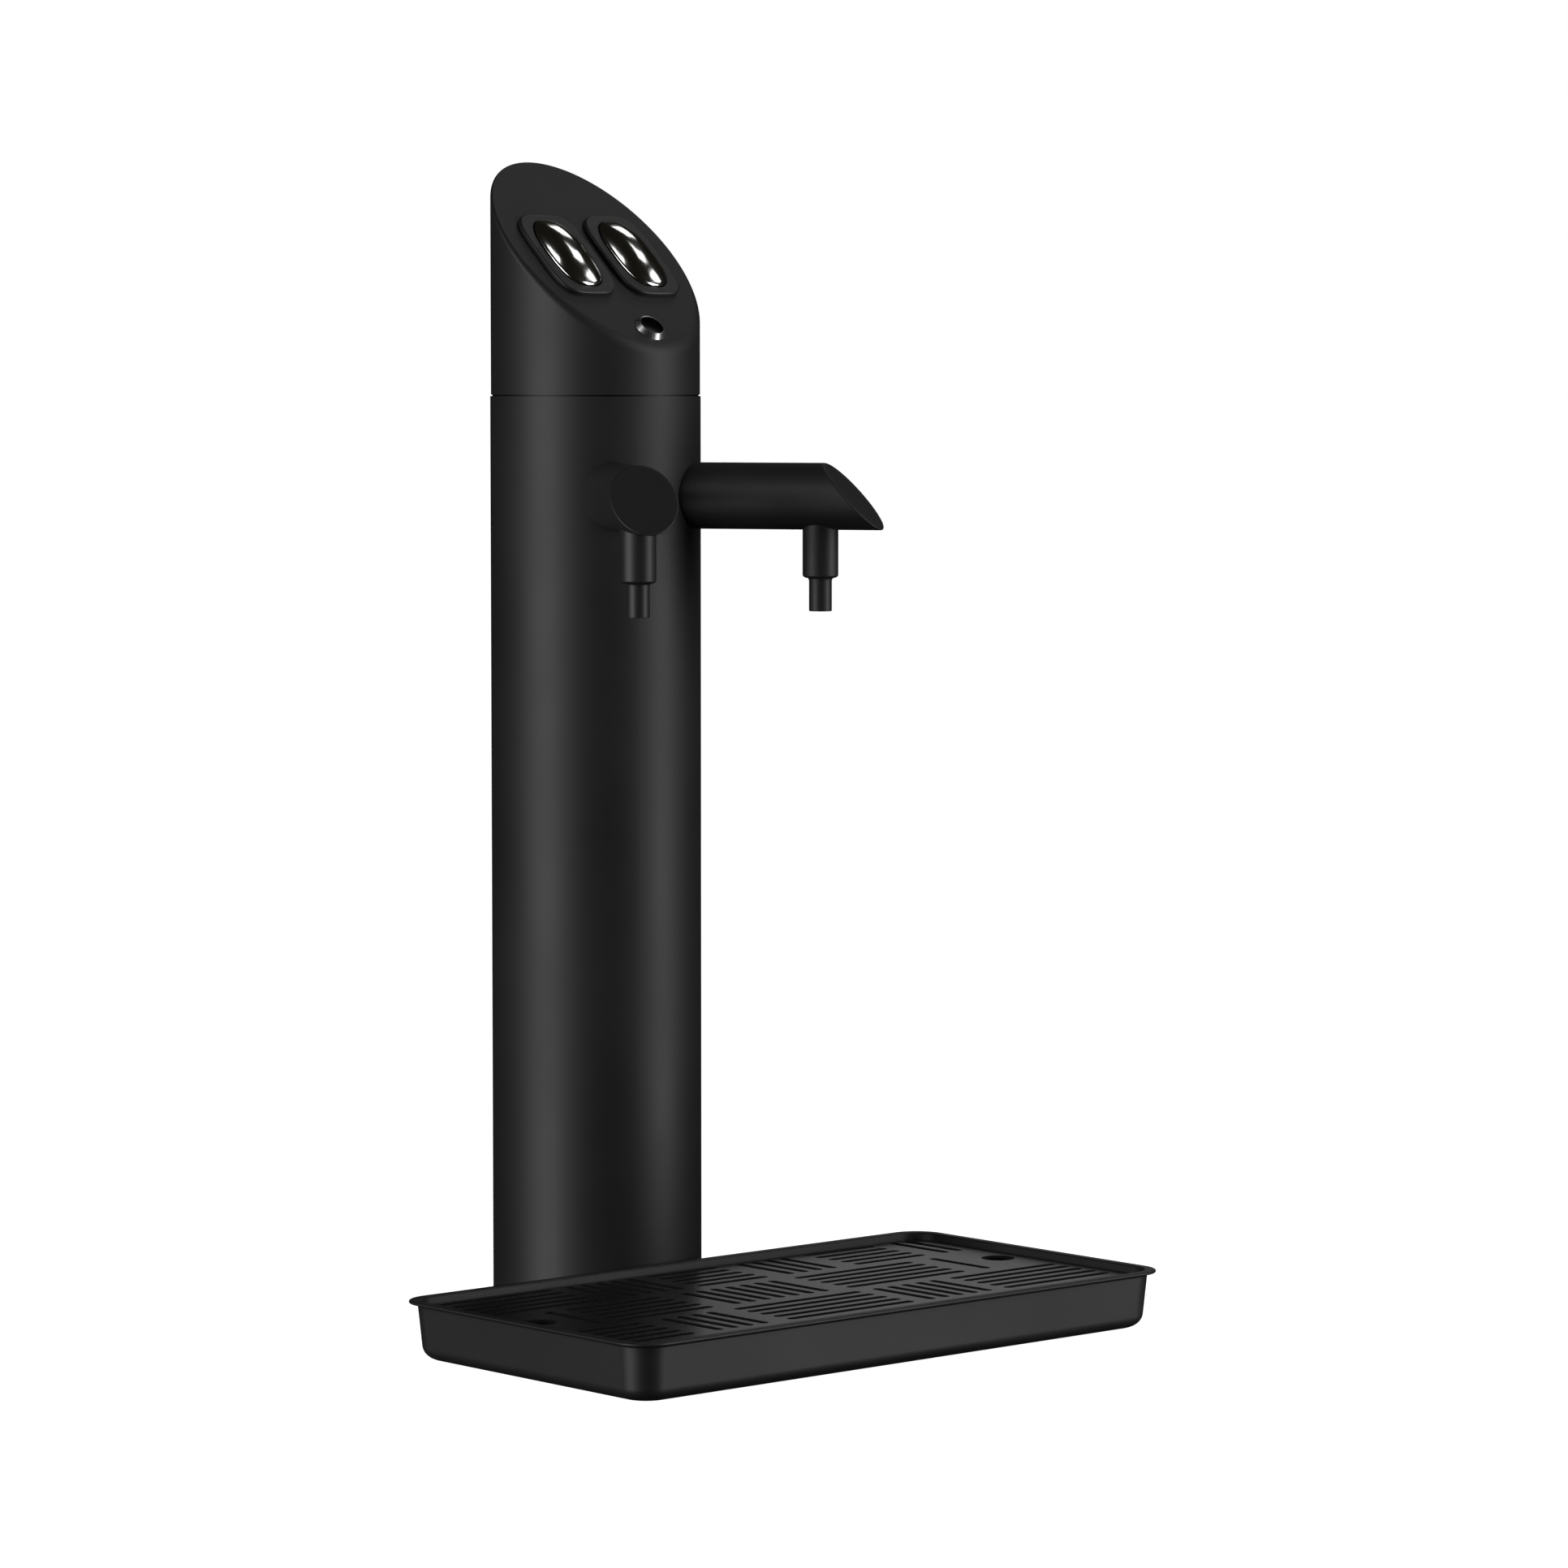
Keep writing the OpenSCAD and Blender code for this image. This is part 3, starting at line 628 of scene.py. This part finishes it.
def spring(side, material):
    """A button's return spring: a coil with flat ends, drawn at one length."""
    place = panel_place()
    centre, half = centre_and_half(f"button_spring_{side}", place)
    base = centre - Vector((0, 0, half.z))
    radius = half.x - SPRING_WIRE
    height = 2 * half.z
    rise = height - 2 * SPRING_WIRE
    steps = 32
    wire = circle(SPRING_WIRE, 0, 12)
    rings = []
    for i in range(SPRING_TURNS * steps + 1):
        turn = i / steps
        climb = min(max((turn - 0.5) / (SPRING_TURNS - 1), 0), 1)
        a = 2 * math.pi * turn
        out = Vector((math.cos(a), math.sin(a), 0))
        core = base + out * radius + Vector((0, 0, SPRING_WIRE + rise * climb))
        rings.append([core + out * across + Vector((0, 0, up)) for across, up, _ in wire])
    skin = Skin(place)
    first, last = skin.loft(rings)
    skin.fill(first)
    skin.fill(last)
    coil = skin.finish(f"spring_coil_{side}", [f"button_spring_{side}"], material)
    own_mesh(coil)


def indicator(ring_material, lens_material):
    """The round indicator: a raised conical ring and a slightly domed dark lens."""
    place = panel_place()
    low, high = extent("indicator_bezel", place)
    centre = (low + high).xy / 2
    outer, top = (high.x - low.x) / 2, high.z
    points = local_points("indicator_bezel", place)
    rim_r = max((p.xy - centre).length for p in points if p.z > top - 0.05 * MM)
    lens_low, lens_high = extent("indicator_lens", place)
    lens_r = (lens_high.x - lens_low.x) / 2
    soft = 0.1 * MM

    ring = Skin(place)
    profile = [(outer, 0), (rim_r + soft, top - 2 * soft), (rim_r - soft, top)]
    profile += [(lens_r, top - soft), (lens_r, low.z)]
    profile += [(INDICATOR_HOLE_R, low.z), (INDICATOR_HOLE_R, 0)]
    lathe(ring, profile, 96, centre)
    ring.finish("indicator_ring", ["indicator_bezel"], ring_material)

    lens = Skin(place)
    edge_z, crown = top - 0.15 * MM, 0.1 * MM
    rings = [circle(lens_r, lens_low.z, 96, centre)]
    for k in range(12, 0, -1):
        share = k / 12
        rings.append(circle(lens_r * share, edge_z + crown * (1 - share ** 2), 96, centre))
    bottom, last = lens.loft(rings)
    lens.fill(bottom)
    lens.fill(last)
    lens.finish("indicator_dome", ["indicator_lens"], lens_material)


# ---------- spouts ----------

def spout(side, material):
    """A spout: a tube that starts on the column's curve and ends in a closed oblique face."""
    place = spout_place(side)
    slope = panel_slope()
    low, high = extent(f"spout_arm_{side}", place)
    radius = high.x
    crossing = high.z - radius * math.tan(slope)
    column_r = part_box("column_tube")[1].x
    skin = Skin(place)

    def on_column(r):
        return lambda a: math.sqrt(column_r ** 2 - (r * math.cos(a)) ** 2)

    outer = cut_rod(radius, on_column(radius), crossing, slope, always(SPOUT_SETBACK), 96, 5)
    root, rim = skin.loft(outer)
    skin.fill(rim)
    saddle = [(x, y, on_column(TAIL_R)(math.atan2(y, x))) for x, y, _ in circle(TAIL_R, 0)]
    inner_r = radius - SPOUT_WALL
    inner_crossing = crossing - SPOUT_WALL / math.cos(slope)
    inner = cut_rod(inner_r, always(CHAMBER_START), inner_crossing, slope, always(INNER_SOFTENING), 96, 2)
    inside = [saddle, circle(TAIL_R, low.z)]
    inside += [circle(TAIL_BORE_R, low.z), circle(TAIL_BORE_R, CHAMBER_START)] + inner
    first, last = skin.loft(inside)
    skin.bridge(root, first)
    skin.fill(last)
    skin.finish(f"spout_tube_{side}", [f"spout_arm_{side}"], material)


def nozzle(side, material):
    """The outlet below a spout: a body that meets the spout's underside, and a narrower tip."""
    body_low, body_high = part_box(f"nozzle_body_{side}")
    tip_low, tip_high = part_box(f"nozzle_tip_{side}")
    centre = middle(f"nozzle_tip_{side}")
    body_r = (body_high.x - body_low.x) / 2
    tip_r = (tip_high.x - tip_low.x) / 2
    arm_r = extent(f"spout_arm_{side}", spout_place(side))[1].x
    arm_z = middle(f"spout_arm_{side}").z
    place = local_place((centre.x, centre.y, 0), (centre.y, -centre.x, 0), (0, 0, 1))
    step, foot = body_low.z, tip_low.z
    chamfer, soft = 1.1 * MM, 0.35 * MM
    flare, fall = 0.9 * MM, 1.2 * MM

    def under_arm(radius):
        """A ring that follows the spout's round underside."""
        return [(x, y, arm_z - math.sqrt(arm_r ** 2 - x ** 2)) for x, y, _ in circle(radius, 0, 64)]

    body = Skin(place)
    profile = [(body_r, step + chamfer), (body_r - 0.2 * MM, step + 0.6 * MM)]
    profile += [(body_r - chamfer, step), (SOCKET_R, step), (SOCKET_R, step + SOCKET_DEPTH)]
    profile += [(FLOW_R, step + SOCKET_DEPTH), (FLOW_R, body_high.z), (NECK_R, body_high.z)]
    rings = [circle(r, z, 64) for r, z in profile]
    first, last = body.loft([under_arm(body_r)] + rings + [under_arm(NECK_R)])
    body.bridge(last, first)
    body.finish(f"outlet_body_{side}", [f"nozzle_body_{side}"], material)

    tip = Skin(place)
    profile = [(FLOW_R, tip_high.z), (SOCKET_R, tip_high.z), (SOCKET_R, step)]
    profile += [(tip_r + flare, step), (tip_r + flare / 3, step - fall / 3), (tip_r, step - fall)]
    profile += [(tip_r, foot + soft), (tip_r - soft * 0.3, foot + soft * 0.3), (tip_r - soft, foot)]
    profile += [(MOUTH_R + 0.3 * MM, foot), (MOUTH_R, foot + 0.3 * MM)]
    profile += [(MOUTH_R, foot + MOUTH_DEPTH), (FLOW_R, foot + MOUTH_DEPTH)]
    lathe(tip, profile)
    tip.finish(f"outlet_tip_{side}", [f"nozzle_tip_{side}"], material)


# ---------- drip tray ----------

def tray(material):
    """The drip tray: a drawn pan with a thin lip that turns out round its rim."""
    low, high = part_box("drip_tray_pan")
    width, depth = high.x - low.x, high.y - low.y
    centre = (low + high) / 2
    skin = Skin(Matrix.Translation((centre.x, centre.y, 0)))

    def ring(inset, z):
        return rounded_rectangle(width - 2 * inset, depth - 2 * inset, corner_at(inset), z)

    def corner_at(inset):
        """The corner's radius, which shrinks more slowly than its ring does."""
        return max(LIP_CORNER - min(inset, LIP_OUT) * 2 / 3 - max(0, inset - LIP_OUT) * 0.5, 2 * MM)

    soft, bend, brim = LIP_WALL / 2, 0.7 * MM, 0.6 * MM
    mid = high.z - soft
    profile = [(LIP_OUT, high.z - LIP_WALL - bend), (LIP_OUT - bend, high.z - LIP_WALL)]
    profile += [(soft - soft * math.cos(a), mid + soft * math.sin(a)) for a in arc(-90, 90, 8)]
    profile += [(LIP_OUT + TRAY_WALL - brim, high.z), (LIP_OUT + TRAY_WALL, high.z - brim)]
    wall_top = high.z - 2.5 * MM
    profile = wall_profile(LIP_OUT, TRAY_FILLET, low.z, wall_top)[::-1] + profile
    inner_fillet, inner_floor = TRAY_FILLET - TRAY_WALL, low.z + TRAY_WALL
    profile += wall_profile(LIP_OUT + TRAY_WALL, inner_fillet, inner_floor, wall_top)
    bottom, floor = skin.loft([ring(inset, z) for inset, z in profile])
    skin.fill(bottom)
    skin.fill(floor)
    skin.finish("tray_basin", ["drip_tray_pan"], material)


def wall_profile(inset, fillet, floor_z, top_z):
    """A drafted wall from its top to the rounded floor edge, as (inset, height)."""
    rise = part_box("drip_tray_pan")[1].z

    def wall(z):
        return inset + (rise - z) * math.tan(TRAY_DRAFT)

    bend_z = floor_z + fillet * (1 - math.sin(TRAY_DRAFT))
    centre = wall(bend_z) + fillet * math.cos(TRAY_DRAFT)
    profile = [(wall(top_z), top_z)]
    for a in arc(180 + math.degrees(TRAY_DRAFT), 270, 8):
        profile.append((centre + fillet * math.cos(a), floor_z + fillet + fillet * math.sin(a)))
    return profile


def top_outlines(node):
    """The closed outlines of a flat node's top face, the outer one first."""
    data = frame["nodes"][node].data
    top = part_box(node)[1].z

    def key(index):
        co = data.vertices[index].co
        return (round(co.x / MICRON), round(co.y / MICRON))

    uses = {}
    for face in data.polygons:
        if all(abs(data.vertices[i].co.z - top) < MICRON for i in face.vertices):
            keys = [key(i) for i in face.vertices]
            for a, b in zip(keys, keys[1:] + keys[:1]):
                uses[(a, b)] = uses.get((a, b), 0) + 1
    follows = {a: b for a, b in uses if (b, a) not in uses}
    loops = []
    while follows:
        start, here = next(iter(follows.items()))
        loop = [start]
        del follows[start]
        while here != start:
            loop.append(here)
            here = follows.pop(here)
        loops.append([Vector((x * MICRON, y * MICRON)) for x, y in loop])
    return sorted(loops, key=lambda loop: -max(p.length for p in loop))


def inset_loop(loop, distance):
    """The loop moved into the material, which lies on its left."""
    moved_points = []
    for i, here in enumerate(loop):
        before, after = loop[i - 1], loop[(i + 1) % len(loop)]
        a, b = (here - before).normalized(), (after - here).normalized()
        across = Vector((-a.y - b.y, a.x + b.x)).normalized()
        reach = max(0.5, across.dot(Vector((-a.y, a.x))))
        moved_points.append(here + across * distance / reach)
    return moved_points


def grille(material):
    """The grille plate, with the edge of every slot rounded over."""
    low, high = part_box("grille_plate")
    skin = Skin()
    tops, bottoms = [], []
    for loop in top_outlines("grille_plate"):
        rings = []
        for a in arc(0, 90, 3):
            inset = GRILLE_EDGE * (1 - math.sin(a))
            points = inset_loop(loop, inset)
            rings.append([(p.x, p.y, high.z - GRILLE_EDGE * (1 - math.cos(a))) for p in points])
        rings.append([(p.x, p.y, low.z + GRILLE_UNDER_EDGE) for p in loop])
        rings.append([(p.x, p.y, low.z) for p in inset_loop(loop, GRILLE_UNDER_EDGE)])
        top, bottom = skin.loft(rings)
        tops.append(top)
        bottoms.append(bottom)
    skin.fill(*tops)
    skin.fill(*bottoms)
    skin.finish("grille_sheet", ["grille_plate"], material)


# ---------- scene ----------

def carry_over(finishes):
    """Gives every CAD node its slot's finish."""
    for name, node in frame["nodes"].items():
        node.data.materials.clear()
        node.data.materials.append(finishes[slot_of[name]])


def camera():
    data = bpy.data.cameras.new("camera")
    data.lens = CAMERA_LENS
    data.sensor_width = CAMERA_SENSOR
    view = bpy.data.objects.new("camera", data)
    bpy.context.scene.collection.objects.link(view)
    ahead = Vector((-math.sin(CAMERA_AZIMUTH), math.cos(CAMERA_AZIMUTH), 0))
    right = Vector((ahead.y, -ahead.x, 0))
    view.location = -ahead * CAMERA_DISTANCE + right * CAMERA_ASIDE + Vector((0, 0, CAMERA_HEIGHT))
    look = ahead * math.cos(CAMERA_PITCH) - Vector((0, 0, math.sin(CAMERA_PITCH)))
    view.rotation_euler = look.to_track_quat("-Z", "Y").to_euler()
    bpy.context.scene.camera = view


def softbox(name, azimuth, elevation, distance, width, height, radiance):
    """A rectangular light aimed at the object. Azimuth 0 is in front and 90 is at +X."""
    a, e = math.radians(azimuth), math.radians(elevation)
    data = bpy.data.lights.new(name, "AREA")
    data.shape = "RECTANGLE"
    data.size, data.size_y = width, height
    data.energy = radiance * math.pi * width * height
    light = bpy.data.objects.new(name, data)
    bpy.context.scene.collection.objects.link(light)
    low, high = cad_bounds
    away = Vector((math.sin(a) * math.cos(e), -math.cos(a) * math.cos(e), math.sin(e)))
    light.location = (low + high) / 2 + away * distance
    light.rotation_euler = away.to_track_quat("Z", "Y").to_euler()
    light.visible_camera = False


def studio():
    """A plain pale floor, soft lights, and a surround that is dim but looks white to the camera."""
    world = bpy.data.worlds.new("studio")
    bpy.context.scene.world = world
    world.use_nodes = True
    nodes, links = world.node_tree.nodes, world.node_tree.links
    nodes["Background"].inputs["Color"].default_value = (*ROOM_GLOW, 1)
    white = nodes.new("ShaderNodeBackground")
    white.inputs["Color"].default_value = (1, 1, 1, 1)
    mix = nodes.new("ShaderNodeMixShader")
    links.new(nodes.new("ShaderNodeLightPath").outputs["Is Camera Ray"], mix.inputs["Fac"])
    links.new(nodes["Background"].outputs["Background"], mix.inputs[1])
    links.new(white.outputs["Background"], mix.inputs[2])
    links.new(mix.outputs["Shader"], nodes["World Output"].inputs["Surface"])

    mesh = bpy.data.meshes.new("floor")
    reach = 12
    corners = [(-reach, -reach, 0), (reach, -reach, 0), (reach, reach, 0), (-reach, reach, 0)]
    mesh.from_pydata(corners, [], [(0, 1, 2, 3)])
    floor = bpy.data.objects.new("floor", mesh)
    floor.location.z = cad_bounds[0].z - 0.1 * MM
    bpy.context.scene.collection.objects.link(floor)
    paper = Finish("floor_paper", Roughness=0.9)
    paper.colours(paper.noise(3), (0.3, (0.56, 0.56, 0.56)), (0.7, (0.60, 0.60, 0.60)))
    paper.shader.inputs["Emission Color"].default_value = (1, 1, 1, 1)
    paper.shader.inputs["Emission Strength"].default_value = 1
    floor.data.materials.append(paper.material)
    floor.visible_glossy = False
    floor.visible_diffuse = False
    floor.visible_shadow = False

    for name, light in LIGHTS.items():
        softbox(name, *light)


def main():
    finishes = make_finishes()
    carry_over(finishes)
    camera()
    studio()
    head_shell(finishes["painted_black"])
    indicator(finishes["satin_chrome"], finishes["dark_lens"])
    for side in SIDES:
        button_pad(side, finishes["pad_black"])
        button_dome(side, finishes["chrome_trim"])
        spring(side, finishes["steel"])
        spout(side, finishes["satin_black"])
        nozzle(side, finishes["outlet_black"])
    tray(finishes["painted_black"])
    grille(finishes["grille_black"])
    bpy.context.scene.view_settings.view_transform = "Standard"


main()
